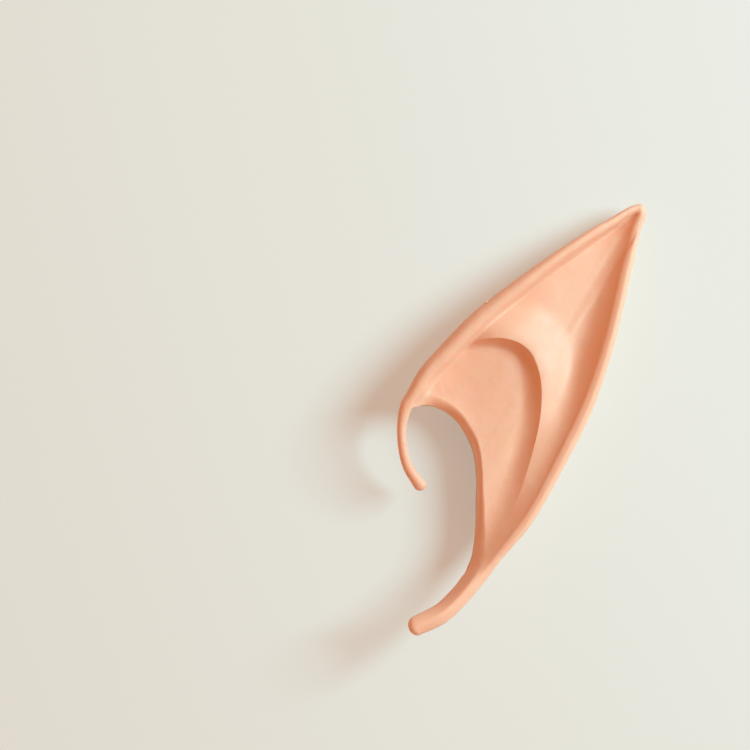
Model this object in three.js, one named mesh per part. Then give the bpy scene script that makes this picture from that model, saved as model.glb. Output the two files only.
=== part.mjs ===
// A slip-on pointed ear tip in soft cast latex, lying on its back as it does on a table.
// One skin is folded along the outer edge: the front half carries the sculpted bowl, the back half is a
// plain belly, and between them lies the pocket that the wearer's ear slides into. A thin hook leaves the
// rim in front of the pocket's mouth, and a tail leaves it below.
// Millimetres, +Z up. The plan is X and Y: the point lies towards +X and +Y, the tail towards -Y.
import * as THREE from "three";

const { clamp, degToRad, lerp } = THREE.MathUtils;

// Overall sizes
const WIDTH = 61.5; // plan, from the hook's outer side to the point
const LENGTH = 106; // plan, from the tail's end to the point
const HEIGHT = 20; // from the table to the top of the tail's end

// Skin and pocket
const SKIN = 1.5; // wall of the front and the back of the pocket
const POCKET_CLOSE = 0.8; // the pocket ends where its two walls come this near
const POCKET_ROUND = 4; // plan length of its rounded inner end
const BACK_SETBACK = 0.8; // the back's free edge lies this far inside the front's
const LIP_WIDTH = 3.8; // strip along the mouth that rolls down
const LIP_DROP = 3.8; // how far it rolls down
const LIP_POWER = 1.7; // how it eases into the bowl
const CEILING_FOLLOW = 0.6; // share of the front's raised forms that the pocket's inside follows

// Rim: a bead along the outer edge
const RIM_WIDTH = 4.9; // the bead's width, where it is widest
const RIM_SHOULDER = 0.8; // strip of that width that belongs to the slope inside it
const RIM_TURN = 0.25; // rounding between its top and that slope
const RIM_CROWN = 6; // radius across its top
const RIM_TALL = 1.35; // height of its outer round, as a share of half its width
const COVE_WIDTH = 8.6; // the hollowed slope from the bead down into the bowl, where it is widest
const COVE_POWER = 1.3; // how it eases into the bowl: 1 is straight, 2 is hollow all the way

// Inner fold: an arch raised between the bowl and the outer groove
const ARCH_STEP = 3.4; // height above the bowl beside it
const ARCH_COVE = 5; // width of the hollowed slope up to it, where it is widest
const ARCH_FALL = 10.5; // width of its slope down to the groove

// Back: a shallow keel with rounded flanks
const FLANK = 9.5; // plan width of the flank
const KEEL_ALONG = 480; // radius of the belly along the ear
const KEEL_ACROSS = 70; // radius across it
const KEEL_HEADING = degToRad(64); // the way the keel runs in plan, from +X
const KEEL_LOW = { across: 0.49, along: 0.56 }; // where the belly touches the table
const KEEL_ROUND = 0.35; // how softly its two flanks meet towards the point

// Sections run from the mouth to the outer edge. mouth and edge are plan points, as shares of WIDTH and
// LENGTH. crest is the top of the rim, and floor the bowl's height at five even places from mouth to edge, as
// shares of HEIGHT. rim and cove are shares of RIM_WIDTH and COVE_WIDTH. rod is 1 where the section is a plain
// bar, and 0 where it is the open folded skin. lean is how steeply a bar's inner part is bent down.
const SECTIONS = [
  {
    at: "hook end", mouth: [0.116, 0.352], edge: [0.072, 0.337], crest: 0.53, rim: 0.5,
    cove: 0.2, floor: [0.5, 0.5, 0.5, 0.5, 0.5], rod: 1, lean: 0,
  },
  {
    at: "hook bend", mouth: [0.068, 0.388], edge: [0.028, 0.3785], crest: 0.6, rim: 0.5,
    cove: 0.2, floor: [0.55, 0.55, 0.55, 0.55, 0.55], rod: 1, lean: 0,
  },
  {
    at: "hook side", mouth: [0.04, 0.447], edge: [0, 0.444], crest: 0.68, rim: 0.6,
    cove: 0.2, floor: [0.6, 0.6, 0.6, 0.6, 0.6], rod: 1, lean: 0,
  },
  {
    at: "hook neck", mouth: [0.046, 0.497], edge: [0.001, 0.501], crest: 0.71, rim: 0.65,
    cove: 0.2, floor: [0.62, 0.62, 0.62, 0.62, 0.62], rod: 1, lean: 0,
  },
  {
    at: "hook root", mouth: [0.063, 0.522], edge: [0.013, 0.5355], crest: 0.725, rim: 0.7,
    cove: 0.2, floor: [0.62, 0.62, 0.62, 0.62, 0.62], rod: 1, lean: 0,
  },
  {
    at: "mouth corner", mouth: [0.096, 0.5245], edge: [0.042, 0.567], crest: 0.735, rim: 0.74,
    cove: 0.2, floor: [0.62, 0.6, 0.6, 0.61, 0.62], rod: 0.45, lean: 0,
  },
  {
    at: "mouth top", mouth: [0.14, 0.5225], edge: [0.088, 0.6145], crest: 0.745, rim: 0.86,
    cove: 0.2, floor: [0.62, 0.56, 0.56, 0.58, 0.6], rod: 0.08, lean: 0,
  },
  {
    at: "front low", mouth: [0.192, 0.509], edge: [0.175, 0.6715], crest: 0.755, rim: 0.97,
    cove: 0.2, floor: [0.575, 0.51, 0.51, 0.54, 0.6], rod: 0, lean: 0,
  },
  {
    at: "front arch", mouth: [0.235, 0.488], edge: [0.2946, 0.7425], crest: 0.76, rim: 1,
    cove: 0.2, floor: [0.545, 0.48, 0.475, 0.52, 0.59], rod: 0, lean: 0,
  },
  {
    at: "front middle", mouth: [0.271, 0.4553], edge: [0.4585, 0.8165], crest: 0.74, rim: 0.92,
    cove: 0.2, floor: [0.535, 0.47, 0.465, 0.5, 0.56], rod: 0, lean: 0,
  },
  {
    at: "front high", mouth: [0.2965, 0.422], edge: [0.6545, 0.8965], crest: 0.67, rim: 0.78,
    cove: 0.2, floor: [0.535, 0.465, 0.455, 0.45, 0.47], rod: 0, lean: 0,
  },
  {
    at: "front narrow", mouth: [0.307, 0.391], edge: [0.8535, 0.9665], crest: 0.52, rim: 0.66,
    cove: 0.24, floor: [0.535, 0.46, 0.415, 0.345, 0.32], rod: 0, lean: 0,
  },
  {
    at: "point front", mouth: [0.309, 0.375], edge: [0.953, 0.997], crest: 0.42, rim: 0.6,
    cove: 0.23, floor: [0.535, 0.46, 0.385, 0.29, 0.26], rod: 0, lean: 0,
  },
  {
    at: "point", mouth: [0.3105, 0.363], edge: [0.984, 1], crest: 0.38, rim: 0.58,
    cove: 0.24, floor: [0.535, 0.46, 0.375, 0.27, 0.235], rod: 0, lean: 0,
  },
  {
    at: "point rear", mouth: [0.3115, 0.354], edge: [1, 0.986], crest: 0.38, rim: 0.62,
    cove: 0.32, floor: [0.535, 0.46, 0.375, 0.265, 0.215], rod: 0, lean: 0,
  },
  {
    at: "rear narrow", mouth: [0.3115, 0.34], edge: [0.98, 0.9345], crest: 0.42, rim: 0.68,
    cove: 0.52, floor: [0.535, 0.465, 0.38, 0.24, 0.18], rod: 0, lean: 0,
  },
  {
    at: "rear high", mouth: [0.3105, 0.323], edge: [0.938, 0.8288], crest: 0.48, rim: 0.7,
    cove: 0.84, floor: [0.535, 0.465, 0.39, 0.24, 0.17], rod: 0, lean: 0,
  },
  {
    at: "rear middle", mouth: [0.309, 0.298], edge: [0.874, 0.6735], crest: 0.575, rim: 0.74,
    cove: 1, floor: [0.535, 0.47, 0.4, 0.255, 0.17], rod: 0, lean: 0,
  },
  {
    at: "rear arch", mouth: [0.308, 0.27], edge: [0.791, 0.5288], crest: 0.64, rim: 0.73,
    cove: 1.1, floor: [0.54, 0.475, 0.42, 0.285, 0.2], rod: 0, lean: 0,
  },
  {
    at: "rear low", mouth: [0.304, 0.238], edge: [0.6685, 0.3858], crest: 0.69, rim: 0.67,
    cove: 1.08, floor: [0.555, 0.49, 0.44, 0.35, 0.28], rod: 0, lean: 0,
  },
  {
    at: "mouth bottom", mouth: [0.296, 0.201], edge: [0.5305, 0.2495], crest: 0.74, rim: 0.6,
    cove: 0.95, floor: [0.6, 0.53, 0.49, 0.46, 0.46], rod: 0, lean: 0.8,
  },
  {
    at: "tail root", mouth: [0.2825, 0.1665], edge: [0.416, 0.1703], crest: 0.765, rim: 0.52,
    cove: 0.7, floor: [0.65, 0.6, 0.56, 0.55, 0.57], rod: 0.25, lean: 0.9,
  },
  {
    at: "tail neck", mouth: [0.258, 0.134], edge: [0.339, 0.113], crest: 0.81, rim: 0.5,
    cove: 0.5, floor: [0.65, 0.65, 0.65, 0.65, 0.65], rod: 1, lean: 1,
  },
  {
    at: "tail side", mouth: [0.214, 0.103], edge: [0.2695, 0.067], crest: 0.87, rim: 0.5,
    cove: 0.5, floor: [0.7, 0.7, 0.7, 0.7, 0.7], rod: 1, lean: 0.95,
  },
  {
    at: "tail bend", mouth: [0.1525, 0.0712], edge: [0.1845, 0.0238], crest: 0.94, rim: 0.5,
    cove: 0.5, floor: [0.8, 0.8, 0.8, 0.8, 0.8], rod: 1, lean: 0.6,
  },
  {
    at: "tail end", mouth: [0.0615, 0.0437], edge: [0.0935, 0.0007], crest: 0.99, rim: 0.5,
    cove: 0.5, floor: [0.9, 0.9, 0.9, 0.9, 0.9], rod: 1, lean: 0.15,
  },
];

// The inner fold's line in plan, as shares of WIDTH and LENGTH, with its shares of ARCH_STEP and ARCH_COVE.
// Its first points run under the bead.
const ARCH = [
  { line: [0.03, 0.535], step: 0, cove: 0.5 },
  { line: [0.112, 0.603], step: 0, cove: 0.5 },
  { line: [0.212, 0.664], step: 0, cove: 0.4 },
  { line: [0.284, 0.674], step: 0.3, cove: 0.4 },
  { line: [0.352, 0.684], step: 0.8, cove: 0.45 },
  { line: [0.42, 0.686], step: 1, cove: 0.55 },
  { line: [0.48, 0.677], step: 1, cove: 0.65 },
  { line: [0.528, 0.657], step: 1, cove: 0.75 },
  { line: [0.56, 0.622], step: 1, cove: 0.85 },
  { line: [0.576, 0.58], step: 1, cove: 0.95 },
  { line: [0.578, 0.541], step: 1, cove: 1 },
  { line: [0.572, 0.499], step: 1, cove: 1 },
  { line: [0.556, 0.453], step: 0.95, cove: 1 },
  { line: [0.532, 0.402], step: 0.8, cove: 1 },
  { line: [0.5, 0.342], step: 0.5, cove: 1 },
  { line: [0.46, 0.287], step: 0.15, cove: 1 },
  { line: [0.41, 0.227], step: 0, cove: 1 },
  { line: [0.33, 0.16], step: 0, cove: 1 },
];

// How finely it is divided
const RIB_STEP = 2.8; // spacing of the sections along the outer edge
const CAP_RIBS = 3; // sections in each round end
const LINE_STEPS = 5; // pieces that each stretch of a plan line is cut into
const LIP_POINTS = 2;
const BOWL_POINTS = 2;
const COVE_POINTS = 3;
const GROOVE_POINTS = 5;
const WALL_POINTS = 4;
const RIM_POINTS = 5;
const BACK_POINTS = 10;
const FLOOR_POINTS = 4;
const CEILING_POINTS = 6;
const ROUND_POINTS = 2; // in each rounded free edge

// The angles of a bar that its front and its back take. The skin's pocket closes up into the rest.
const BAR_FRONT = degToRad(150);
const BAR_BACK = degToRad(120);
const BAR_FOLD = 0.1; // where a bar's inner part bends down, inside its middle, as a share of its radius
const BAR_TURN = 0.25; // rounding of that bend

const plan = ([across, along]) => new THREE.Vector2((across - 0.5) * WIDTH, (along - 0.5) * LENGTH);

// A smooth curve through values at rising stations, as a function of the station.
function track(stations, values) {
  const last = stations.length - 1;
  const rise = (i) => (values[i + 1] - values[i]) / (stations[i + 1] - stations[i]);
  const slopes = values.map((_, i) => {
    if (i === 0) return rise(0);
    if (i === last) return rise(last - 1);
    const before = stations[i] - stations[i - 1];
    const after = stations[i + 1] - stations[i];
    return (rise(i - 1) * after + rise(i) * before) / (before + after);
  });
  return (station) => {
    let i = 0;
    while (i < last - 1 && station > stations[i + 1]) i += 1;
    const span = stations[i + 1] - stations[i];
    const t = clamp((station - stations[i]) / span, 0, 1);
    const back = 1 - t;
    return (
      values[i] * (1 + 2 * t) * back * back +
      values[i + 1] * (3 - 2 * t) * t * t +
      span * (slopes[i] * t * back * back - slopes[i + 1] * t * t * back)
    );
  };
}

// The distance travelled along a row of points, at each of them.
function travel(points) {
  const sums = [0];
  for (let i = 1; i < points.length; i += 1) sums.push(sums[i - 1] + points[i].distanceTo(points[i - 1]));
  return sums;
}

function pointTrack(stations, points) {
  const x = track(stations, points.map((p) => p.x));
  const y = track(stations, points.map((p) => p.y));
  return (station) => new THREE.Vector2(x(station), y(station));
}

// Smooth tracks of every column of the section table, along the outer edge
const edgePoints = SECTIONS.map((s) => plan(s.edge));
const STATIONS = travel(edgePoints);
const edgeAt = pointTrack(STATIONS, edgePoints);
const mouthAt = pointTrack(STATIONS, SECTIONS.map((s) => plan(s.mouth)));
const column = (pick) => track(STATIONS, SECTIONS.map(pick));
const crestAt = column((s) => s.crest * HEIGHT);
const rimAt = column((s) => s.rim * RIM_WIDTH);
const coveAt = column((s) => s.cove * COVE_WIDTH);
const rodAt = column((s) => s.rod);
const leanAt = column((s) => s.lean);
const FLOOR_SHARES = [0, 0.25, 0.5, 0.75, 1];
const floorAt = FLOOR_SHARES.map((_, k) => column((s) => s.floor[k] * HEIGHT));
const stationOf = (name) => STATIONS[SECTIONS.findIndex((s) => s.at === name)];

// A plan line cut into short straight pieces, with the station of each cut.
function cutLine(pointAt, stations) {
  const cuts = [];
  for (let i = 0; i + 1 < stations.length; i += 1) {
    for (let k = 0; k < LINE_STEPS; k += 1) cuts.push(lerp(stations[i], stations[i + 1], k / LINE_STEPS));
  }
  cuts.push(stations.at(-1));
  return cuts.map((station) => ({ station, point: pointAt(station) }));
}

const between = (from, to) => STATIONS.filter((s) => s >= stationOf(from) && s <= stationOf(to));
const frontEdge = cutLine(edgeAt, between("hook root", "point"));
const rearEdge = cutLine(edgeAt, between("point", "tail neck"));
const archPoints = ARCH.map((a) => plan(a.line));
const archStations = travel(archPoints);
const archLine = cutLine(pointTrack(archStations, archPoints), archStations);
const archStep = track(archStations, ARCH.map((a) => a.step * ARCH_STEP));
const archCove = track(archStations, ARCH.map((a) => a.cove * ARCH_COVE));

// The nearest place on a cut line: how far it is, on which side, and its station.
function nearest(line, p) {
  let best = { distance: Infinity };
  for (let i = 0; i + 1 < line.length; i += 1) {
    const a = line[i].point;
    const b = line[i + 1].point;
    const along = b.clone().sub(a);
    const t = clamp(p.clone().sub(a).dot(along) / along.lengthSq(), 0, 1);
    const foot = a.clone().addScaledVector(along, t);
    const distance = foot.distanceTo(p);
    if (distance < best.distance) {
      const side = Math.sign(along.cross(p.clone().sub(a))) || 1;
      best = { distance, side, station: lerp(line[i].station, line[i + 1].station, t) };
    }
  }
  return best;
}

const smoothMin = (a, b, blend) => (a + b - Math.hypot(a - b, blend)) / 2;

// The bead's top at a distance from the outer edge: round outside, and crowned.
function beadTop(rib, reach) {
  const crown = rib.rim / 2;
  const outer = clamp(1 - reach / crown, 0, 1);
  const inner = clamp(reach - crown, 0, rib.rim - crown);
  return rib.crest - RIM_TALL * crown * (1 - Math.sqrt(1 - outer * outer)) - inner ** 2 / (2 * RIM_CROWN);
}

const frontReach = (p) => nearest(frontEdge, p).distance;
const rearReach = (p) => nearest(rearEdge, p).distance;
const edgeReach = (p) => Math.min(frontReach(p), rearReach(p));

// How far the surface has come from the bowl's height to the bead's, by its nearest place on an edge.
function coveShare(rib, at) {
  const width = coveAt(at.station);
  const past = at.distance - (rib.rim - RIM_SHOULDER);
  return smoothMin(Math.max(0, 1 - past / width) ** COVE_POWER, 1, (2 * RIM_TURN) / width);
}

// The inner fold: a cove on the bowl's side and a long fall on the groove's side.
function archRise(p) {
  const at = nearest(archLine, p);
  const step = archStep(at.station);
  if (at.side < 0) return step * clamp(1 - at.distance / archCove(at.station), 0, 1) ** 2;
  return step * (1 - clamp(at.distance / ARCH_FALL, 0, 1) ** 2) ** 3;
}

// The bowl without its bead and fold, rolled down at the mouth.
function bowlHeight(rib, run) {
  return rib.floor(run / rib.length) - LIP_DROP * clamp(1 - run / LIP_WIDTH, 0, 1) ** LIP_POWER;
}

const pointOn = (rib, run) => rib.mouth.clone().addScaledVector(rib.heading, run);

function frontHeight(rib, run) {
  const p = pointOn(rib, run);
  const front = nearest(frontEdge, p);
  const rear = nearest(rearEdge, p);
  const base = bowlHeight(rib, run) + archRise(p);
  const share = Math.max(coveShare(rib, front), coveShare(rib, rear));
  const top = beadTop(rib, Math.min(front.distance, rear.distance));
  return lerp(base, top, share);
}

// The belly: a shallow keel whose flanks turn up to the outer edge.
function backHeight(rib, run) {
  const p = pointOn(rib, run);
  const off = p.clone().sub(plan([KEEL_LOW.across, KEEL_LOW.along]));
  off.rotateAround(new THREE.Vector2(), -KEEL_HEADING);
  const keel = off.x ** 2 / (2 * KEEL_ALONG) + off.y ** 2 / (2 * KEEL_ACROSS);
  const front = frontReach(p);
  const rear = rearReach(p);
  const both = KEEL_ROUND * (front + rear);
  const reach = (Math.hypot(front + rear, both) - Math.hypot(front - rear, both)) / 2;
  const t = clamp(1 - reach / FLANK, 0, 1);
  const widest = rib.crest - (RIM_TALL * rib.rim) / 2;
  return keel + (widest - keel) * (1 - Math.sqrt(1 - t * t));
}

// Places from a to b: even when pull is 0, and crowded towards b (or towards a, when negative) otherwise.
function spread(a, b, count, pull = 0) {
  return Array.from({ length: count }, (_, i) => {
    const t = (i + 1) / (count + 1);
    const crowded = pull < 0 ? 1 - Math.cos((t * Math.PI) / 2) : Math.sin((t * Math.PI) / 2);
    return lerp(a, b, lerp(t, crowded, Math.abs(pull)));
  });
}

// The run at which a test first holds, going along a rib from one run to another.
function firstRun(from, to, test) {
  const steps = 60;
  const run = (i) => lerp(from, to, i / steps);
  let i = 0;
  while (i < steps && !test(run(i))) i += 1;
  if (i === 0) return from;
  let before = run(i - 1);
  let after = run(i);
  for (let k = 0; k < 10; k += 1) {
    const middle = (before + after) / 2;
    if (test(middle)) after = middle;
    else before = middle;
  }
  return after;
}

// A free edge rounded between its two corners, bulging by half the wall.
function rounded([r1, z1], [r2, z2]) {
  const middle = [(r1 + r2) / 2, (z1 + z2) / 2];
  const half = [(r1 - r2) / 2, (z1 - z2) / 2];
  return Array.from({ length: ROUND_POINTS }, (_, i) => {
    const angle = (Math.PI * (i + 1)) / (ROUND_POINTS + 1);
    return [
      middle[0] + half[0] * Math.cos(angle) - half[1] * Math.sin(angle),
      middle[1] + half[1] * Math.cos(angle) + half[0] * Math.sin(angle),
    ];
  });
}

// The skin's runs along its front and its back, with the pocket's inside as [run, height] points.
function skinSection(rib) {
  const nearEdge = (run) => {
    const p = pointOn(rib, run);
    const front = nearest(frontEdge, p);
    const rear = nearest(rearEdge, p);
    return front.distance < rear.distance ? front : rear;
  };
  const slopeStart = rib.rim - RIM_SHOULDER;
  const lipEnd = Math.min(LIP_WIDTH, 0.3 * rib.length);
  const shoulder = firstRun(rib.length, 0.6 * rib.length, (run) => nearEdge(run).distance >= slopeStart);
  const foot = firstRun(shoulder, lerp(lipEnd, shoulder, 0.3), (run) => {
    const at = nearEdge(run);
    return at.distance >= slopeStart + 0.6 * coveAt(at.station);
  });
  const fold = clamp(
    firstRun(rib.length, 0, (run) => nearest(archLine, pointOn(rib, run)).side < 0),
    lerp(lipEnd, foot, 0.25),
    lerp(lipEnd, foot, 0.97),
  );
  const cove = firstRun(fold, lerp(lipEnd, fold, 0.4), (run) => {
    const at = nearest(archLine, pointOn(rib, run));
    return at.distance > archCove(at.station);
  });
  const start = SKIN / 2;
  const front = [
    start,
    ...spread(start, lipEnd, LIP_POINTS),
    lipEnd,
    ...spread(lipEnd, cove, BOWL_POINTS),
    cove,
    ...spread(cove, fold, COVE_POINTS, 0.4),
    fold,
    ...spread(fold, foot, GROOVE_POINTS, -0.5),
    foot,
    ...spread(foot, shoulder, WALL_POINTS, 0.3),
    shoulder,
    ...spread(shoulder, rib.length, RIM_POINTS, 0.8),
    rib.length,
  ];
  const backEnd = Math.min(start + BACK_SETBACK, 0.3 * rib.length);
  const back = [...spread(rib.length, backEnd, BACK_POINTS, -0.8), backEnd];
  const ceiling = (run) => lerp(bowlHeight(rib, run), frontHeight(rib, run), CEILING_FOLLOW) - SKIN;
  const floor = (run) => backHeight(rib, run) + SKIN;
  const deep = firstRun(backEnd, rib.length, (run) => {
    const shut = ceiling(run) - floor(run) < POCKET_CLOSE;
    return shut || edgeReach(pointOn(rib, run)) < rib.rim;
  });
  const bluntness = clamp(deep - backEnd, 0.01, POCKET_ROUND);
  const inside = (run, side) => {
    const past = clamp((run - deep) / bluntness + 1, 0, 1);
    const half = ((ceiling(run) - floor(run)) / 2) * Math.sqrt(1 - past * past);
    return [run, (ceiling(run) + floor(run)) / 2 + side * half];
  };
  const floorSide = [backEnd, ...spread(backEnd, deep, FLOOR_POINTS, 0.9), deep].map((run) => inside(run, -1));
  const ceilingSide = [...spread(deep, start, CEILING_POINTS, -0.9), start].map((run) => inside(run, 1));
  const pocket = [
    ...rounded([backEnd, backHeight(rib, backEnd)], floorSide[0]),
    ...floorSide,
    ...ceilingSide,
    ...rounded(ceilingSide.at(-1), [start, frontHeight(rib, start)]),
  ];
  return { front, back, pocket };
}

// The angles of a bar's points: its front from the mouth to the edge, its back, then the rest.
const FRONT_COUNT = LIP_POINTS + BOWL_POINTS + COVE_POINTS + GROOVE_POINTS + WALL_POINTS + RIM_POINTS + 7;
const POCKET_COUNT = FLOOR_POINTS + CEILING_POINTS + 2 * ROUND_POINTS + 3;
const FRONT_ANGLES = Array.from({ length: FRONT_COUNT }, (_, i) => BAR_FRONT * (1 - i / (FRONT_COUNT - 1)));
const BACK_ANGLES = Array.from({ length: BACK_POINTS + 1 }, (_, i) => (-BAR_BACK * (i + 1)) / (BACK_POINTS + 1));
const POCKET_ANGLES = spread(-BAR_BACK, BAR_FRONT - 2 * Math.PI, POCKET_COUNT);

// A rib's section, as [run, height] points: a bar, or the skin, or the one sliding into the other.
function section(rib) {
  const radius = rib.length / 2;
  const onBar = (angle) => {
    const across = radius * Math.cos(angle);
    const bent = rib.lean * smoothMin(across + BAR_FOLD * radius, 0, BAR_TURN);
    return [radius + across, rib.crest - radius * (1 - Math.sin(angle)) + bent];
  };
  if (rib.rod >= 1) return [...FRONT_ANGLES, ...BACK_ANGLES, ...POCKET_ANGLES].map(onBar);
  const skin = skinSection(rib);
  const slide = (run, barAngle, height) => {
    const skinAngle = Math.acos(clamp(run / radius - 1, -1, 1)) * Math.sign(barAngle || 1);
    const [there, barHeight] = onBar(lerp(skinAngle, barAngle, rib.rod));
    return [there, lerp(height(rib, there), barHeight, rib.rod)];
  };
  return [
    ...skin.front.map((run, i) => slide(run, FRONT_ANGLES[i], frontHeight)),
    ...skin.back.map((run, i) => slide(run, BACK_ANGLES[i], backHeight)),
    ...skin.pocket.map(([run, z], i) => {
      const [barRun, barZ] = onBar(POCKET_ANGLES[i]);
      return [lerp(run, barRun, rib.rod), lerp(z, barZ, rib.rod)];
    }),
  ];
}

function ribAt(station) {
  const mouth = mouthAt(station);
  const edge = edgeAt(station);
  const length = edge.distanceTo(mouth);
  return {
    mouth,
    length,
    heading: edge.sub(mouth).normalize(),
    crest: crestAt(station),
    rim: Math.min(rimAt(station), 0.9 * length),
    lean: leanAt(station),
    rod: clamp(rodAt(station), 0, 1),
    floor: track(FLOOR_SHARES, floorAt.map((at) => at(station))),
  };
}

function ringAt(station) {
  const rib = ribAt(station);
  return section(rib).map(([run, z]) => {
    const p = pointOn(rib, run);
    return new THREE.Vector3(p.x, p.y, z);
  });
}

const middleOf = (ring) => ring.reduce((sum, p) => sum.add(p), new THREE.Vector3()).divideScalar(ring.length);

// Rings that close a bar's end in a half ball. The first is the nearest to the bar.
function endRings(last, before) {
  const middle = middleOf(last);
  const outward = middle.clone().sub(middleOf(before)).normalize();
  const radius = last[0].distanceTo(middle);
  return Array.from({ length: CAP_RIBS }, (_, k) => {
    const angle = ((k + 1) / (CAP_RIBS + 1)) * (Math.PI / 2);
    return last.map((p) =>
      p.clone().sub(middle).multiplyScalar(Math.cos(angle)).add(middle)
        .addScaledVector(outward, radius * Math.sin(angle)),
    );
  }).concat([[middle.clone().addScaledVector(outward, radius)]]);
}

// A closed mesh through rings of equal count, with a single point at either end.
function skinOver(rings) {
  const points = rings.flat();
  const faces = [];
  const count = rings[1].length;
  const ringStart = (r) => 1 + (r - 1) * count;
  const lastRing = rings.length - 2;
  for (let i = 0; i < count; i += 1) {
    const next = (i + 1) % count;
    faces.push(0, ringStart(1) + i, ringStart(1) + next);
    faces.push(points.length - 1, ringStart(lastRing) + next, ringStart(lastRing) + i);
    for (let r = 1; r < lastRing; r += 1) {
      const a = ringStart(r) + i;
      const b = ringStart(r) + next;
      faces.push(a, a + count, b, b, a + count, b + count);
    }
  }
  const geometry = new THREE.BufferGeometry().setFromPoints(points);
  geometry.setIndex(faces);
  return geometry;
}

function earTip() {
  const stops = [];
  for (let i = 0; i + 1 < STATIONS.length; i += 1) {
    const steps = Math.max(2, Math.ceil((STATIONS[i + 1] - STATIONS[i]) / RIB_STEP));
    for (let k = 0; k < steps; k += 1) stops.push(lerp(STATIONS[i], STATIONS[i + 1], k / steps));
  }
  stops.push(STATIONS.at(-1));
  const rings = stops.map(ringAt);
  const hookEnd = endRings(rings[0], rings[1]).reverse();
  const tailEnd = endRings(rings.at(-1), rings.at(-2));
  const geometry = skinOver([...hookEnd, ...rings, ...tailEnd]);
  geometry.computeBoundingBox();
  const { min, max } = geometry.boundingBox;
  geometry.translate(-(min.x + max.x) / 2, -(min.y + max.y) / 2, -min.z);
  geometry.computeVertexNormals();
  return geometry;
}

const latex = new THREE.MeshStandardMaterial({ color: 0xf0b48c, roughness: 0.7, metalness: 0 });
const tip = new THREE.Mesh(earTip(), latex);
tip.name = "ear_tip";
const ear = new THREE.Group();
ear.name = "elf_ear_tip";
ear.add(tip);

export default ear;
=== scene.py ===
"""A slip-on pointed ear tip in matte cast latex, lying on its back on a pale floor."""

import math
from collections import namedtuple

import bpy
import numpy as np
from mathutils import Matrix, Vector, noise


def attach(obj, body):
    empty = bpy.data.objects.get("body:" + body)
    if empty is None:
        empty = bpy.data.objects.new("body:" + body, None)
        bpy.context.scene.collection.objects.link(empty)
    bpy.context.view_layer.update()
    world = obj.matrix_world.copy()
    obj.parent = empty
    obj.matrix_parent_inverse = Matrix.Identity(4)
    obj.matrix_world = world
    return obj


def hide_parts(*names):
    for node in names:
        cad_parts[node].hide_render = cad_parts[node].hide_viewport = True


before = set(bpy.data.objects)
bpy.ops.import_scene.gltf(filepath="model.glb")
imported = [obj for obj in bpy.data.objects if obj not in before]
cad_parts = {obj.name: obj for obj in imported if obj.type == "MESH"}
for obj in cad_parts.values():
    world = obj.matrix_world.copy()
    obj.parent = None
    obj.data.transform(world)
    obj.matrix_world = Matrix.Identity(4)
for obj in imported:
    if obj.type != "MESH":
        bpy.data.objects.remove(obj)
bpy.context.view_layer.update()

MM = 0.001

# Overall sizes of the part, in millimetres
WIDTH = 61.5
LENGTH = 106.0
HEIGHT = 20.0

# Skin and pocket
SKIN = 1.5
POCKET_CLOSE = 0.8
POCKET_ROUND = 4.0
LEAST_ROUND = 0.01
BACK_SETBACK = 0.8
SETBACK_LIMIT = 0.3
LIP_WIDTH = 3.8
LIP_DROP = 3.8
LIP_POWER = 1.7
CEILING_FOLLOW = 0.6

# Rim
RIM_WIDTH = 4.9
RIM_SHOULDER = 0.8
RIM_TURN = 0.25
RIM_CROWN = 6.0
RIM_CREST = 0.5
RIM_LIMIT = 0.9
RIM_TALL = 1.35
COVE_WIDTH = 8.6
COVE_POWER = 1.3
COVE_EASE = 0.3

# The shallow gutter that follows the front rim's inner foot
GUTTER_WIDTH = 7.5
GUTTER_DEPTH = 1.6

# Inner fold
ARCH_STEP = 3.4
ARCH_COVE = 5.0
ARCH_FALL = 12.5

# Back
FLANK = 9.5
KEEL_ALONG = 480.0
KEEL_ACROSS = 70.0
KEEL_HEADING = math.radians(64)
KEEL_LOW = (0.49, 0.56)
KEEL_ROUND = 0.35

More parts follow.
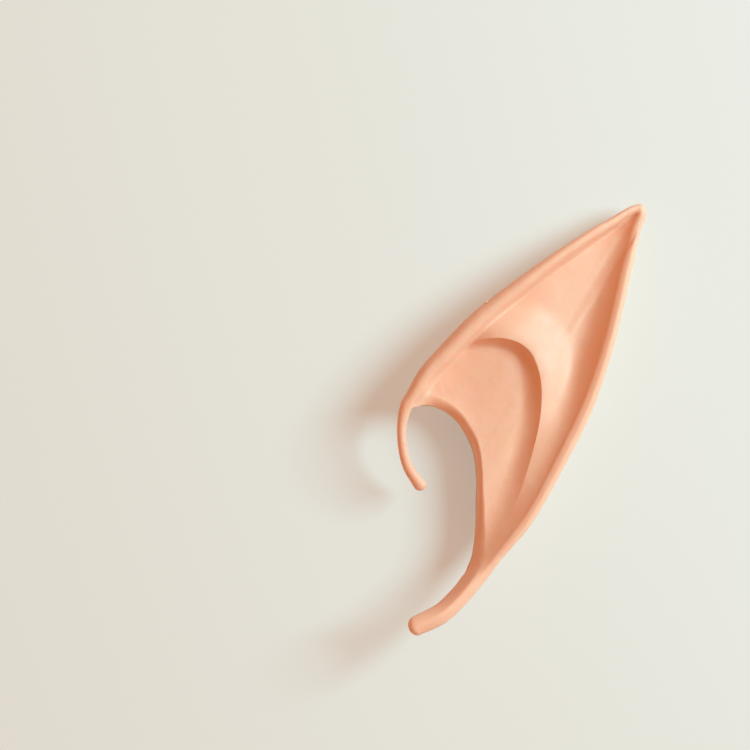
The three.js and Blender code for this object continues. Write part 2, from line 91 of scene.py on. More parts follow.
# Sections from the mouth to the outer edge. mouth and edge are plan points, as shares of WIDTH and LENGTH.
# crest is the top of the rim, and floor the bowl's height at FLOOR_SHARES of the way out, as shares of
# HEIGHT. rim and cove are shares of RIM_WIDTH and COVE_WIDTH. rod is 1 where the section is a plain bar,
# and 0 where it is the open folded skin. lean is how steeply a bar's inner part is bent down.
FLOOR_SHARES = (0, 0.25, 0.5, 0.75, 1)
Section = namedtuple("Section", "at mouth edge crest rim cove floor rod lean")
SECTIONS = [
    Section(
        "hook end", mouth=(0.116, 0.352), edge=(0.072, 0.337), crest=0.53, rim=0.5, cove=0.2,
        floor=(0.5, 0.5, 0.5, 0.5, 0.5), rod=1, lean=0,
    ),
    Section(
        "hook bend", mouth=(0.068, 0.388), edge=(0.028, 0.3785), crest=0.6, rim=0.5, cove=0.2,
        floor=(0.55, 0.55, 0.55, 0.55, 0.55), rod=1, lean=0,
    ),
    Section(
        "hook side", mouth=(0.04, 0.447), edge=(0, 0.444), crest=0.68, rim=0.6, cove=0.2,
        floor=(0.6, 0.6, 0.6, 0.6, 0.6), rod=1, lean=0,
    ),
    Section(
        "hook neck", mouth=(0.046, 0.497), edge=(0.001, 0.501), crest=0.71, rim=0.65, cove=0.2,
        floor=(0.62, 0.62, 0.62, 0.62, 0.62), rod=1, lean=0,
    ),
    Section(
        "hook root", mouth=(0.063, 0.522), edge=(0.013, 0.5355), crest=0.725, rim=0.7, cove=0.15,
        floor=(0.62, 0.62, 0.62, 0.62, 0.62), rod=1, lean=0,
    ),
    Section(
        "mouth corner", mouth=(0.096, 0.5245), edge=(0.042, 0.567), crest=0.735, rim=0.74, cove=0.15,
        floor=(0.62, 0.6, 0.6, 0.61, 0.62), rod=0.45, lean=0,
    ),
    Section(
        "mouth top", mouth=(0.14, 0.5225), edge=(0.088, 0.6145), crest=0.745, rim=0.86, cove=0.15,
        floor=(0.62, 0.56, 0.56, 0.58, 0.6), rod=0.08, lean=0,
    ),
    Section(
        "front low", mouth=(0.192, 0.509), edge=(0.175, 0.6715), crest=0.755, rim=0.97, cove=0.15,
        floor=(0.575, 0.51, 0.51, 0.54, 0.6), rod=0, lean=0,
    ),
    Section(
        "front arch", mouth=(0.235, 0.488), edge=(0.2946, 0.7425), crest=0.76, rim=1, cove=0.15,
        floor=(0.545, 0.48, 0.475, 0.52, 0.59), rod=0, lean=0,
    ),
    Section(
        "front middle", mouth=(0.271, 0.4553), edge=(0.4585, 0.8165), crest=0.74, rim=0.92, cove=0.15,
        floor=(0.535, 0.47, 0.465, 0.5, 0.56), rod=0, lean=0,
    ),
    Section(
        "front high", mouth=(0.2965, 0.422), edge=(0.6545, 0.8965), crest=0.67, rim=0.78, cove=0.15,
        floor=(0.535, 0.465, 0.455, 0.45, 0.47), rod=0, lean=0,
    ),
    Section(
        "front narrow", mouth=(0.307, 0.391), edge=(0.8535, 0.9665), crest=0.52, rim=0.66, cove=0.15,
        floor=(0.535, 0.46, 0.415, 0.345, 0.32), rod=0, lean=0,
    ),
    Section(
        "point front", mouth=(0.309, 0.375), edge=(0.953, 0.997), crest=0.42, rim=0.6, cove=0.17,
        floor=(0.535, 0.46, 0.385, 0.29, 0.26), rod=0, lean=0,
    ),
    Section(
        "point", mouth=(0.3105, 0.363), edge=(0.984, 1), crest=0.38, rim=0.58, cove=0.2,
        floor=(0.535, 0.46, 0.375, 0.27, 0.235), rod=0, lean=0,
    ),
    Section(
        "point rear", mouth=(0.3115, 0.354), edge=(1, 0.986), crest=0.38, rim=0.62, cove=0.32,
        floor=(0.535, 0.46, 0.375, 0.265, 0.215), rod=0, lean=0,
    ),
    Section(
        "rear narrow", mouth=(0.3115, 0.34), edge=(0.98, 0.9345), crest=0.42, rim=0.68, cove=0.52,
        floor=(0.535, 0.465, 0.38, 0.24, 0.18), rod=0, lean=0,
    ),
    Section(
        "rear high", mouth=(0.3105, 0.323), edge=(0.938, 0.8288), crest=0.48, rim=0.7, cove=0.84,
        floor=(0.535, 0.465, 0.39, 0.24, 0.17), rod=0, lean=0,
    ),
    Section(
        "rear middle", mouth=(0.309, 0.298), edge=(0.874, 0.6735), crest=0.575, rim=0.74, cove=1,
        floor=(0.535, 0.455, 0.37, 0.255, 0.17), rod=0, lean=0,
    ),
    Section(
        "rear arch", mouth=(0.308, 0.27), edge=(0.791, 0.5288), crest=0.64, rim=0.73, cove=1.1,
        floor=(0.54, 0.46, 0.385, 0.285, 0.2), rod=0, lean=0,
    ),
    Section(
        "rear low", mouth=(0.304, 0.238), edge=(0.6685, 0.3858), crest=0.69, rim=0.67, cove=1.08,
        floor=(0.555, 0.475, 0.415, 0.345, 0.27), rod=0, lean=0,
    ),
    Section(
        "mouth bottom", mouth=(0.296, 0.201), edge=(0.5305, 0.2495), crest=0.74, rim=0.6, cove=0.95,
        floor=(0.6, 0.53, 0.49, 0.46, 0.46), rod=0, lean=0.8,
    ),
    Section(
        "tail root", mouth=(0.2825, 0.1665), edge=(0.416, 0.1703), crest=0.765, rim=0.52, cove=0.7,
        floor=(0.65, 0.6, 0.56, 0.55, 0.57), rod=0.25, lean=0.9,
    ),
    Section(
        "tail neck", mouth=(0.258, 0.134), edge=(0.339, 0.113), crest=0.81, rim=0.5, cove=0.5,
        floor=(0.65, 0.65, 0.65, 0.65, 0.65), rod=1, lean=1,
    ),
    Section(
        "tail side", mouth=(0.214, 0.103), edge=(0.2695, 0.067), crest=0.87, rim=0.5, cove=0.5,
        floor=(0.7, 0.7, 0.7, 0.7, 0.7), rod=1, lean=0.95,
    ),
    Section(
        "tail bend", mouth=(0.1525, 0.0712), edge=(0.1845, 0.0238), crest=0.94, rim=0.5, cove=0.5,
        floor=(0.8, 0.8, 0.8, 0.8, 0.8), rod=1, lean=0.6,
    ),
    Section(
        "tail end", mouth=(0.0615, 0.0437), edge=(0.0935, 0.0007), crest=0.99, rim=0.5, cove=0.5,
        floor=(0.9, 0.9, 0.9, 0.9, 0.9), rod=1, lean=0.15,
    ),
]

# The inner fold: points of its line in plan, with their shares of ARCH_STEP and ARCH_COVE
Fold = namedtuple("Fold", "line step cove")
ARCH = [
    Fold(line=(0.03, 0.535), step=0, cove=0.5),
    Fold(line=(0.112, 0.603), step=0, cove=0.5),
    Fold(line=(0.212, 0.664), step=0, cove=0.4),
    Fold(line=(0.284, 0.674), step=0.3, cove=0.4),
    Fold(line=(0.352, 0.684), step=0.8, cove=0.45),
    Fold(line=(0.42, 0.686), step=1, cove=0.55),
    Fold(line=(0.48, 0.677), step=1, cove=0.65),
    Fold(line=(0.528, 0.657), step=1, cove=0.75),
    Fold(line=(0.56, 0.622), step=1, cove=0.85),
    Fold(line=(0.576, 0.58), step=1, cove=0.95),
    Fold(line=(0.578, 0.541), step=1, cove=1),
    Fold(line=(0.572, 0.499), step=1, cove=1),
    Fold(line=(0.556, 0.453), step=0.95, cove=1),
    Fold(line=(0.532, 0.402), step=0.8, cove=1),
    Fold(line=(0.5, 0.342), step=0.5, cove=1),
    Fold(line=(0.46, 0.287), step=0.15, cove=1),
    Fold(line=(0.41, 0.227), step=0, cove=1),
    Fold(line=(0.33, 0.16), step=0, cove=1),
]

# The angles of a bar that its front and its back take, and how its inner part is bent
BAR_FRONT = math.radians(150)
BAR_BACK = math.radians(120)
BAR_FOLD = 0.1
BAR_TURN = 0.25

# How finely the skin is divided
RIB_STEP = 0.66
LINE_STEPS = 20
CAP_RIBS = 14
RIB_SPREAD = 4
TURN_REACH = 0.35
TURN_PULL = 5
FRONT_POINTS = 140
BACK_POINTS = 44
FLOOR_POINTS = 16
CEILING_POINTS = 24
ROUND_POINTS = 7
BACK_PULL = -0.8
FLOOR_PULL = 0.9
CEILING_PULL = -0.9
FRONT_SURVEY = 500
POCKET_SURVEY = 260
CROSSING_STEPS = 400
FEWEST_RIBS = 4

# The skin's unevenness, in metres: the size of its patches and their height, with a seed. It lies below the
# smooth skin by UNEVEN_SINK on average.
Patches = namedtuple("Patches", "size height seed")
UNEVEN = [
    Patches(size=0.011, height=0.00012, seed=1),
    Patches(size=0.0035, height=0.00005, seed=2),
    Patches(size=0.0012, height=0.000015, seed=3),
]
UNEVEN_SINK = 0.00008
SEED_SHIFT = (13.1, 7.7, 3.3)

# A nib that the mould left on the front rim and a dark speck on the hook: plan points, as shares of WIDTH
# and LENGTH, and radii in millimetres. Each sits on the skin's highest corner within NEAR of its point.
NEAR = 0.6
NIB_AT = (0.352, 0.774)
NIB_RADIUS = 0.45
NIB_TURNS = 12
NIB_RINGS = 6
SPECK_AT = (0.03, 0.481)
SPECK_RADIUS = 0.28
SPECK_BROWN = (0.42, 0.16, 0.08, 1)

# The latex's flesh colours, linear
LATEX_WARM = (0.945, 0.525, 0.340, 1)
LATEX_PALE = (0.955, 0.560, 0.380, 1)
LATEX_ROSE = (0.940, 0.500, 0.340, 1)
FLECK_SHARE = 0.35

# The latex's noises: how many patches to a metre, and how finely they are broken up
Grain = namedtuple("Grain", "scale detail")
CLOUDS = Grain(scale=75, detail=3)
FLECKS = Grain(scale=420, detail=2)
SHEEN = Grain(scale=240, detail=3)
SWELL = Grain(scale=350, detail=2)
CAST = Grain(scale=2600, detail=3)
NOISE_LOW = 0.3
NOISE_HIGH = 0.7

# The latex's surface: its roughness, the heights of its relief in metres, and the light that enters it
ROUGH_LEAST = 0.44
ROUGH_MOST = 0.56
SWELL_HEIGHT = 0.00006
CAST_HEIGHT = 0.000012
SCATTER_SHARE = 0.5
SCATTER_REACH = (1.0, 0.3, 0.15)
SCATTER_SCALE = 0.0011
SPECULAR = 0.4

# The floor, which also glows a little as the pale table under a wide soft light does
FLOOR_COLOUR = (0.55, 0.553, 0.518, 1)
FLOOR_ROUGHNESS = 0.7
FLOOR_GLOW = (0.27, 0.28, 0.255, 1)
FLOOR_HALF = 3.0

# The light: a warm room, and one wide cool window to the right
ROOM_COLOUR = (1.0, 0.48, 0.26, 1)
ROOM_STRENGTH = 0.58
WINDOW_COLOUR = (0.50, 0.87, 1.0)
WINDOW_POWER = 18
WINDOW_SIZE = 0.6
WINDOW_AWAY = 1.2
WINDOW_TURN = math.radians(20)
WINDOW_LIFT = math.radians(37)

# The camera looks straight down at the middle of the photograph's frame
PIXEL = 0.2455 * MM
FRAME_PIXELS = 750
VIEW_CENTRE = (-36.16 * MM, 10.72 * MM)
RIM_LEVEL = 13 * MM
CAMERA_ABOVE = 1.2
SENSOR = 36
CLIP_NEAR = 0.01
CLIP_FAR = 10

def plan(point):
    return np.array([(point[0] - 0.5) * WIDTH, (point[1] - 0.5) * LENGTH])


class Track:
    """A smooth curve through rows of values at rising stations."""

    def __init__(self, stations, values):
        self.s = np.asarray(stations, float)
        self.v = np.asarray(values, float)
        span = np.diff(self.s)
        shape = (-1,) + (1,) * (self.v.ndim - 1)
        rise = np.diff(self.v, axis=0) / span.reshape(shape)
        before, after = span[:-1].reshape(shape), span[1:].reshape(shape)
        inner = (rise[:-1] * after + rise[1:] * before) / (before + after)
        self.m = np.concatenate([rise[:1], inner, rise[-1:]])

    def __call__(self, station):
        station = np.asarray(station, float)
        i = np.clip(np.searchsorted(self.s, station, "left") - 1, 0, len(self.s) - 2)
        span = self.s[i + 1] - self.s[i]
        t = np.clip((station - self.s[i]) / span, 0, 1)
        if self.v.ndim > 1:
            span, t = span[..., None], t[..., None]
        back = 1 - t
        return (
            self.v[i] * (1 + 2 * t) * back * back
            + self.v[i + 1] * (3 - 2 * t) * t * t
            + span * (self.m[i] * t * back * back - self.m[i + 1] * t * t * back)
        )


def travel(points):
    steps = np.hypot(*np.diff(points, axis=0).T)
    return np.concatenate([[0], np.cumsum(steps)])


edge_points = np.array([plan(s.edge) for s in SECTIONS])
STATIONS = travel(edge_points)
edge_at = Track(STATIONS, edge_points)
mouth_at = Track(STATIONS, np.array([plan(s.mouth) for s in SECTIONS]))
crest_at = Track(STATIONS, [s.crest * HEIGHT for s in SECTIONS])
rim_at = Track(STATIONS, [s.rim * RIM_WIDTH for s in SECTIONS])
cove_at = Track(STATIONS, [s.cove * COVE_WIDTH for s in SECTIONS])
rod_at = Track(STATIONS, [s.rod for s in SECTIONS])
lean_at = Track(STATIONS, [s.lean for s in SECTIONS])
floor_at = Track(STATIONS, [[h * HEIGHT for h in s.floor] for s in SECTIONS])


def station_of(name):
    return STATIONS[[s.at for s in SECTIONS].index(name)]


def cut_line(point_at, stations):
    """A plan line cut into short straight pieces: their starts, ends and stations."""
    cuts = [np.linspace(a, b, LINE_STEPS, endpoint=False) for a, b in zip(stations, stations[1:])]
    cuts = np.concatenate([*cuts, [stations[-1]]])
    points = point_at(cuts)
    return points[:-1], points[1:], cuts


def between(low, high):
    return [s for s in STATIONS if station_of(low) <= s <= station_of(high)]


front_edge = cut_line(edge_at, between("hook root", "point"))
rear_edge = cut_line(edge_at, between("point", "tail neck"))
arch_points = np.array([plan(a.line) for a in ARCH])
arch_stations = travel(arch_points)
arch_line = cut_line(Track(arch_stations, arch_points), list(arch_stations))
arch_step = Track(arch_stations, [a.step * ARCH_STEP for a in ARCH])
arch_cove = Track(arch_stations, [a.cove * ARCH_COVE for a in ARCH])


def nearest(line, p):
    """Distance, side and station of the nearest place on a cut line, for rows of points."""
    a, b, cuts = line
    along = b - a
    rel = p[:, None, :] - a[None]
    t = np.clip((rel * along).sum(2) / (along**2).sum(1), 0, 1)
    away = rel - t[..., None] * along
    square = (away**2).sum(2)
    k = square.argmin(1)
    rows = np.arange(len(p))
    side = np.sign(along[k, 0] * rel[rows, k, 1] - along[k, 1] * rel[rows, k, 0])
    station = cuts[k] + t[rows, k] * (cuts[k + 1] - cuts[k])
    return np.sqrt(square[rows, k]), np.where(side == 0, 1, side), station


def lerp(a, b, t):
    return a + (b - a) * t


def spread(a, b, count, pull=0.0):
    t = np.arange(1, count + 1) / (count + 1)
    crowded = 1 - np.cos(t * math.pi / 2) if pull < 0 else np.sin(t * math.pi / 2)
    return lerp(a, b, lerp(t, crowded, abs(pull)))


def smooth_min(a, b, blend):
    return (a + b - np.hypot(a - b, blend)) / 2


class Rib:
    """One section of the skin, from the mouth to the outer edge."""

    def __init__(self, station):
        self.mouth = mouth_at(station)
        self.edge = edge_at(station)
        self.length = float(np.hypot(*(self.edge - self.mouth)))
        self.heading = (self.edge - self.mouth) / self.length
        self.crest = float(crest_at(station))
        self.rim = min(float(rim_at(station)), RIM_LIMIT * self.length)
        self.lean = float(lean_at(station))
        self.rod = float(np.clip(rod_at(station), 0, 1))
        self.floor = Track(FLOOR_SHARES, floor_at(station))

    def points(self, runs):
        return self.mouth + np.asarray(runs)[:, None] * self.heading

    def bead_top(self, reach):
        crown = self.rim * RIM_CREST
        outer = np.clip(1 - reach / crown, 0, 1)
        inner = np.clip(reach - crown, 0, self.rim - crown)
        side = RIM_TALL * crown * (1 - np.sqrt(1 - outer**2))
        return self.crest - side - inner**2 / (2 * RIM_CROWN)

    def cove_share(self, distance, station):
        width = cove_at(station)
        past = distance - (self.rim - RIM_SHOULDER)
        rise = -smooth_min(past / width - 1, 0, COVE_EASE)
        return smooth_min(rise**COVE_POWER, 1, 2 * RIM_TURN / width)

    def bowl(self, runs):
        roll = LIP_DROP * np.clip(1 - runs / LIP_WIDTH, 0, 1) ** LIP_POWER
        return self.floor(runs / self.length) - roll

    def survey(self, runs):
        """Every height along the rib, at the given runs."""
        runs = np.asarray(runs, float)
        p = self.points(runs)
        front, _, front_station = nearest(front_edge, p)
        rear, _, rear_station = nearest(rear_edge, p)
        distance, side, station = nearest(arch_line, p)
        step, cove = np.maximum(arch_step(station), 0), arch_cove(station)
        hollow = step * np.clip(1 - distance / cove, 0, 1) ** 2
        fall = step * (1 - np.clip(distance / ARCH_FALL, 0, 1) ** 2) ** 3
        bowl = self.bowl(runs)
        past = (front - (self.rim - RIM_SHOULDER)) / GUTTER_WIDTH
        gutter = GUTTER_DEPTH * np.clip(1 - past, 0, 1) ** 2
        base = bowl + np.where(side < 0, hollow, fall) - gutter
        front_share = self.cove_share(front, front_station)
        share = np.maximum(front_share, self.cove_share(rear, rear_station))
        edge_reach = np.minimum(front, rear)
        face = lerp(base, self.bead_top(edge_reach), share)
        both = KEEL_ROUND * (front + rear)
        reach = (np.hypot(front + rear, both) - np.hypot(front - rear, both)) / 2
        off = p - plan(KEEL_LOW)
        c = math.cos(KEEL_HEADING)
        s = math.sin(KEEL_HEADING)
        along = off[:, 0] * c + off[:, 1] * s
        across = off[:, 1] * c - off[:, 0] * s
        keel = along**2 / (2 * KEEL_ALONG) + across**2 / (2 * KEEL_ACROSS)
        t = np.clip(1 - reach / FLANK, 0, 1)
        widest = self.crest - RIM_TALL * self.rim / 2
        return {
            "reach": edge_reach,
            "front": face,
            "back": keel + (widest - keel) * (1 - np.sqrt(1 - t * t)),
            "ceiling": lerp(bowl - gutter, face, CEILING_FOLLOW) - SKIN,
        }


def crossing(runs, values, start, stop):
    """The run between start and stop, going that way, at which values first turn from + to -."""
    grid = np.linspace(start, stop, CROSSING_STEPS)
    v = np.interp(grid, runs, values)
    if v[0] <= 0:
        return start
    hits = np.nonzero(v <= 0)[0]
    if len(hits) == 0:
        return stop
    i = hits[0]
    return grid[i - 1] + (grid[i] - grid[i - 1]) * v[i - 1] / (v[i - 1] - v[i])


def rounded(first, last):
    """The points of a half round between two ends of a wall."""
    middle, half = (first + last) / 2, (first - last) / 2
    angle = math.pi * np.arange(1, ROUND_POINTS + 1) / (ROUND_POINTS + 1)
    turned = np.array([-half[1], half[0]])
    return middle + np.outer(np.cos(angle), half) + np.outer(np.sin(angle), turned)


def front_shares(rib):
    """Shares of the way across the front, closer together where it turns sharply."""
    runs = np.linspace(SKIN / 2, rib.length, FRONT_SURVEY)
    spacing = runs[1] - runs[0]
    slope = np.gradient(rib.survey(runs)["front"], spacing)
    turn = np.abs(np.gradient(np.arctan(slope), spacing))
    reach = max(1, round(TURN_REACH / spacing))
    window = np.ones(2 * reach + 1) / (2 * reach + 1)
    density = 1 + TURN_PULL * np.sqrt(np.convolve(turn, window, "same"))
    passed = np.concatenate([[0], np.cumsum(density[1:] + density[:-1])])
    shares = np.interp(np.linspace(0, passed[-1], FRONT_POINTS), passed, runs) - runs[0]
    return shares / shares[-1]


def pocket_end(rib):
    """The run at which the pocket ends."""
    runs = np.linspace(0, rib.length, POCKET_SURVEY)
    s = rib.survey(runs)
    gap = np.minimum(s["ceiling"] - s["back"] - SKIN - POCKET_CLOSE, s["reach"] - rib.rim)
    return crossing(runs, gap, back_end(rib), rib.length)


def back_end(rib):
    """The run at which the back's lip ends."""
    return min(SKIN / 2 + BACK_SETBACK, SETBACK_LIMIT * rib.length)


def evened(rows):
    """Rows of numbers, evened out from rib to rib, so that the mesh's lines run smoothly."""
    reach = 2 * RIB_SPREAD
    weights = np.exp(-0.5 * (np.arange(-reach, reach + 1) / RIB_SPREAD) ** 2)
    padded = np.pad(np.array(rows), ((reach, reach), (0, 0)), mode="edge")
    return sum(w * padded[k:k + len(rows)] for k, w in enumerate(weights / weights.sum()))


def skin_section(rib, shares, deep):
    """The skin's runs along its front and its back, with the pocket's inside as points."""
    start, stop = SKIN / 2, back_end(rib)
    front = lerp(start, rib.length, shares)
    back = np.concatenate([spread(rib.length, stop, BACK_POINTS, BACK_PULL), [stop]])
    floor_runs = np.concatenate([[stop], spread(stop, deep, FLOOR_POINTS, FLOOR_PULL), [deep]])
    ceiling_runs = np.concatenate([spread(deep, start, CEILING_POINTS, CEILING_PULL), [start]])
    blunt = float(np.clip(deep - stop, LEAST_ROUND, POCKET_ROUND))

    def inside(runs, way):
        s = rib.survey(runs)
        floor = s["back"] + SKIN
        past = np.clip((runs - deep) / blunt + 1, 0, 1)
        half = (s["ceiling"] - floor) / 2 * np.sqrt(1 - past * past)
        return np.stack([runs, (s["ceiling"] + floor) / 2 + way * half], 1)

    floor = inside(floor_runs, -1)
    ceiling = inside(ceiling_runs, 1)
    ends = rib.survey([stop, start])
    last_back = np.array([stop, ends["back"][0]])
    first_front = np.array([start, ends["front"][1]])
    back_lip = rounded(last_back, floor[0])
    front_lip = rounded(ceiling[-1], first_front)
    return front, back, np.concatenate([back_lip, floor, ceiling, front_lip])


POCKET_COUNT = FLOOR_POINTS + CEILING_POINTS + 2 * ROUND_POINTS + 3
FRONT_ANGLES = np.linspace(BAR_FRONT, 0, FRONT_POINTS)
BACK_ANGLES = np.linspace(0, -BAR_BACK, BACK_POINTS + 2)[1:]
POCKET_ANGLES = spread(-BAR_BACK, BAR_FRONT - 2 * math.pi, POCKET_COUNT)


def section(rib, row=None):
    """A rib's section: a bar, or the skin, or the one sliding into the other."""
    radius = rib.length / 2

    def on_bar(angles):
        across = radius * np.cos(angles)
        bent = rib.lean * smooth_min(across + BAR_FOLD * radius, 0, BAR_TURN)
        return np.stack([radius + across, rib.crest - radius * (1 - np.sin(angles)) + bent], 1)

    if row is None:
        return on_bar(np.concatenate([FRONT_ANGLES, BACK_ANGLES, POCKET_ANGLES]))
    front, back, pocket = skin_section(rib, row[:-1], row[-1] * rib.length)

    def slide(runs, bar_angles, way, face):
        skin_angles = way * np.arccos(np.clip(runs / radius - 1, -1, 1))
        points = on_bar(lerp(skin_angles, bar_angles, rib.rod))
        points[:, 1] = lerp(rib.survey(points[:, 0])[face], points[:, 1], rib.rod)
        return points

    return np.concatenate([
        slide(front, FRONT_ANGLES, 1, "front"),
        slide(back, BACK_ANGLES, -1, "back"),
        lerp(pocket, on_bar(POCKET_ANGLES), rib.rod),
    ])


def end_rings(last, before):
    """The rings and the pole that round off a bar's end."""
    middle = last.mean(0)
    outward = middle - before.mean(0)
    outward /= np.linalg.norm(outward)
    radius = np.linalg.norm(last[0] - middle)
    rings = []
    for k in range(1, CAP_RIBS + 1):
        angle = k / (CAP_RIBS + 1) * math.pi / 2
        rings.append((last - middle) * math.cos(angle) + middle + outward * radius * math.sin(angle))
    return rings, middle + outward * radius


def ear_rings():
    stops = []
    for a, b in zip(STATIONS, STATIONS[1:]):
        count = max(FEWEST_RIBS, math.ceil((b - a) / RIB_STEP))
        stops.extend(np.linspace(a, b, count, endpoint=False))
    stops.append(STATIONS[-1])
    ribs = [Rib(s) for s in stops]
    on_skin = [k for k, rib in enumerate(ribs) if rib.rod < 1]
    rows = [[*front_shares(ribs[k]), pocket_end(ribs[k]) / ribs[k].length] for k in on_skin]
    row_at = dict(zip(on_skin, evened(rows)))
    rings = []
    for k, rib in enumerate(ribs):
        outline = section(rib, row_at.get(k))
        rings.append(np.column_stack([rib.points(outline[:, 0]), outline[:, 1]]))
    return rings


def ear_mesh():
    rings = ear_rings()
    hook_rings, hook_pole = end_rings(rings[0], rings[1])
    tail_rings, tail_pole = end_rings(rings[-1], rings[-2])
    rows = [*hook_rings[::-1], *rings, *tail_rings]
    count = len(rows[0])
    verts = np.concatenate([*rows, [hook_pole], [tail_pole]])
    low, high = verts.min(0), verts.max(0)
    verts -= [(low[0] + high[0]) / 2, (low[1] + high[1]) / 2, low[2]]
    faces = []
    for r in range(len(rows) - 1):
        for i in range(count):
            j = (i + 1) % count
            faces.append((r * count + i, (r + 1) * count + i, (r + 1) * count + j, r * count + j))
    last = (len(rows) - 1) * count
    for i in range(count):
        j = (i + 1) % count
        faces.append((len(verts) - 2, i, j))
        faces.append((len(verts) - 1, last + j, last + i))
    return verts, faces


def add_mesh(name, verts, faces):
    mesh = bpy.data.meshes.new(name)
    mesh.from_pydata([tuple(v) for v in verts], [], faces)
    mesh.validate()
    mesh.shade_smooth()
    obj = bpy.data.objects.new(name, mesh)
    bpy.context.scene.collection.objects.link(obj)
    return obj


def uneven(points, patches):
    """A soft unevenness, as a height for each point."""
    shift = Vector([patches.seed * step for step in SEED_SHIFT])
    return np.array([noise.noise(Vector(p) / patches.size + shift) for p in points]) * patches.height


def roughen(mesh):
    """Hand casting leaves the skin a little uneven."""
    count = len(mesh.vertices)
    points = np.empty(count * 3)
    normals = np.empty(count * 3)
    mesh.vertices.foreach_get("co", points)
    mesh.vertices.foreach_get("normal", normals)
    points = points.reshape(-1, 3)
    normals = normals.reshape(-1, 3)
    height = sum(uneven(points, patches) for patches in UNEVEN)
    points += normals * (height - UNEVEN_SINK)[:, None]
    points[:, 2] -= points[:, 2].min()
    mesh.vertices.foreach_set("co", points.ravel())
    mesh.update()


def top_near(verts, at):
    """The highest corner of the skin close to a plan point."""
    off = verts[:, :2] - plan(at)
    close = verts[np.hypot(off[:, 0], off[:, 1]) < NEAR]
    return close[np.argmax(close[:, 2])]


def nib_mesh(centre):
    turns = np.arange(NIB_TURNS) * math.tau / NIB_TURNS
    levels = math.pi * np.arange(1, NIB_RINGS) / NIB_RINGS
    verts = []
    for a in levels:
        verts += [(math.sin(a) * math.cos(t), math.sin(a) * math.sin(t), math.cos(a)) for t in turns]
    verts += [(0, 0, 1), (0, 0, -1)]
    faces = []
    last = (NIB_RINGS - 2) * NIB_TURNS
    for i in range(NIB_TURNS):
        j = (i + 1) % NIB_TURNS
        for k in range(0, last, NIB_TURNS):
            faces.append((k + i, k + NIB_TURNS + i, k + NIB_TURNS + j, k + j))
        faces.append((len(verts) - 2, i, j))
        faces.append((len(verts) - 1, last + j, last + i))
    return centre + NIB_RADIUS * np.array(verts), faces


def make_ear():
    verts, faces = ear_mesh()
    nib, nib_faces = nib_mesh(top_near(verts, NIB_AT))
    faces += [tuple(i + len(verts) for i in face) for face in nib_faces]
    ear = add_mesh("ear_skin", np.concatenate([verts, nib]) * MM, faces)
    roughen(ear.data)
    ear.data.materials.append(latex_material(top_near(verts, SPECK_AT) * MM))
    return ear


def noise_node(tree, coords, grain):
    node = tree.nodes.new("ShaderNodeTexNoise")
    node.inputs["Scale"].default_value = grain.scale
    node.inputs["Detail"].default_value = grain.detail
    tree.links.new(coords, node.inputs["Vector"])
    return node.outputs["Fac"]


def spread_node(tree, value, low, high, start=NOISE_LOW, stop=NOISE_HIGH):
    """A value's stretch from start to stop, such as a noise's middle half, spread over low to high."""
    node = tree.nodes.new("ShaderNodeMapRange")
    node.inputs["From Min"].default_value = start
    node.inputs["From Max"].default_value = stop
    node.inputs["To Min"].default_value = low
    node.inputs["To Max"].default_value = high
    tree.links.new(value, node.inputs["Value"])
    return node.outputs["Result"]


def mix_node(tree, share, first, second):
    """Two colours mixed by a share. The first is a colour or a socket."""
    node = tree.nodes.new("ShaderNodeMix")
    node.data_type = "RGBA"
    tree.links.new(share, node.inputs["Factor"])
    if isinstance(first, tuple):
        node.inputs["A"].default_value = first
    else:
        tree.links.new(first, node.inputs["A"])
    node.inputs["B"].default_value = second
    return node.outputs["Result"]


def bump_node(tree, height, distance, below=None):
    node = tree.nodes.new("ShaderNodeBump")
    node.inputs["Strength"].default_value = 1
    node.inputs["Distance"].default_value = distance
    tree.links.new(height, node.inputs["Height"])
    if below is not None:
        tree.links.new(below, node.inputs["Normal"])
    return node.outputs["Normal"]


def latex_material(speck):
    """Matte cast latex: its flesh colour runs a little warm and pale in clouds, over a fine cast grain."""
    mat = bpy.data.materials.new("cast_latex")
    mat.use_nodes = True
    tree = mat.node_tree
    shader = tree.nodes["Principled BSDF"]
    coords = tree.nodes.new("ShaderNodeTexCoord").outputs["Object"]
    clouds = spread_node(tree, noise_node(tree, coords, CLOUDS), 0, 1)
    flecks = spread_node(tree, noise_node(tree, coords, FLECKS), 0, FLECK_SHARE)
    colour = mix_node(tree, clouds, LATEX_WARM, LATEX_PALE)
    colour = mix_node(tree, flecks, colour, LATEX_ROSE)
    away = tree.nodes.new("ShaderNodeVectorMath")
    away.operation = "DISTANCE"
    away.inputs[1].default_value = speck
    tree.links.new(coords, away.inputs[0])
    mark = spread_node(tree, away.outputs["Value"], 1, 0, SPECK_RADIUS * MM / 2, SPECK_RADIUS * MM)
    colour = mix_node(tree, mark, colour, SPECK_BROWN)
    sheen = spread_node(tree, noise_node(tree, coords, SHEEN), ROUGH_LEAST, ROUGH_MOST)
    swell = bump_node(tree, noise_node(tree, coords, SWELL), SWELL_HEIGHT)
    grain = bump_node(tree, noise_node(tree, coords, CAST), CAST_HEIGHT, swell)
    tree.links.new(colour, shader.inputs["Base Color"])
    tree.links.new(sheen, shader.inputs["Roughness"])
    tree.links.new(grain, shader.inputs["Normal"])
    shader.inputs["Subsurface Weight"].default_value = SCATTER_SHARE
    shader.inputs["Subsurface Radius"].default_value = SCATTER_REACH
    shader.inputs["Subsurface Scale"].default_value = SCATTER_SCALE
    shader.inputs["Specular IOR Level"].default_value = SPECULAR
    return mat


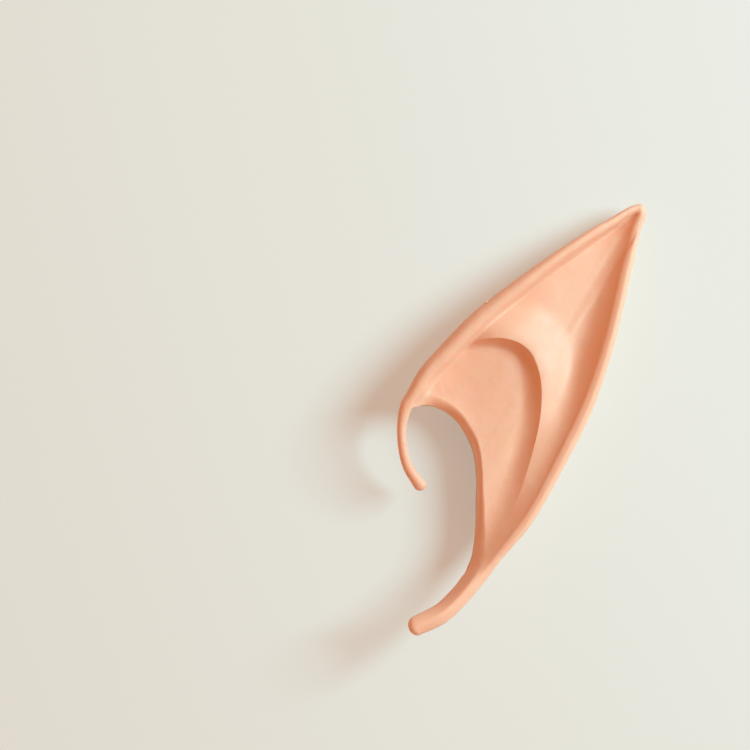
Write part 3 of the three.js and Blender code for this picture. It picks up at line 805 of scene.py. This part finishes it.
def make_floor():
    mat = bpy.data.materials.new("floor_white")
    mat.use_nodes = True
    shader = mat.node_tree.nodes["Principled BSDF"]
    shader.inputs["Base Color"].default_value = FLOOR_COLOUR
    shader.inputs["Roughness"].default_value = FLOOR_ROUGHNESS
    shader.inputs["Emission Color"].default_value = FLOOR_GLOW
    shader.inputs["Emission Strength"].default_value = 1
    half = FLOOR_HALF
    corners = [(-half, -half, 0), (half, -half, 0), (half, half, 0), (-half, half, 0)]
    floor = add_mesh("floor", corners, [(0, 1, 2, 3)])
    floor.data.materials.append(mat)


def aim(obj, target):
    obj.rotation_euler = (Vector(target) - obj.location).to_track_quat("-Z", "Y").to_euler()


def make_light(name, location, target, size, power, colour):
    data = bpy.data.lights.new(name, "AREA")
    data.shape = "DISK"
    data.size = size
    data.energy = power
    data.color = colour
    light = bpy.data.objects.new(name, data)
    light.location = location
    aim(light, target)
    bpy.context.scene.collection.objects.link(light)


def make_lights():
    world = bpy.data.worlds.new("studio")
    bpy.context.scene.world = world
    world.use_nodes = True
    background = world.node_tree.nodes["Background"]
    background.inputs["Color"].default_value = ROOM_COLOUR
    background.inputs["Strength"].default_value = ROOM_STRENGTH
    flat = WINDOW_AWAY * math.cos(WINDOW_LIFT)
    up = WINDOW_AWAY * math.sin(WINDOW_LIFT)
    window = (flat * math.cos(WINDOW_TURN), flat * math.sin(WINDOW_TURN), up)
    make_light("window", window, (0, 0, 0), WINDOW_SIZE, WINDOW_POWER, WINDOW_COLOUR)


def make_camera():
    data = bpy.data.cameras.new("camera")
    data.sensor_fit = "HORIZONTAL"
    data.sensor_width = SENSOR
    data.lens = SENSOR * CAMERA_ABOVE / (FRAME_PIXELS * PIXEL)
    data.clip_start = CLIP_NEAR
    data.clip_end = CLIP_FAR
    camera = bpy.data.objects.new("camera", data)
    camera.location = (*VIEW_CENTRE, RIM_LEVEL + CAMERA_ABOVE)
    bpy.context.scene.collection.objects.link(camera)
    bpy.context.scene.camera = camera


make_camera()
ear = make_ear()
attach(ear, "root")
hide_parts("ear_tip")
make_floor()
make_lights()

scene = bpy.context.scene
scene.view_settings.view_transform = "Standard"
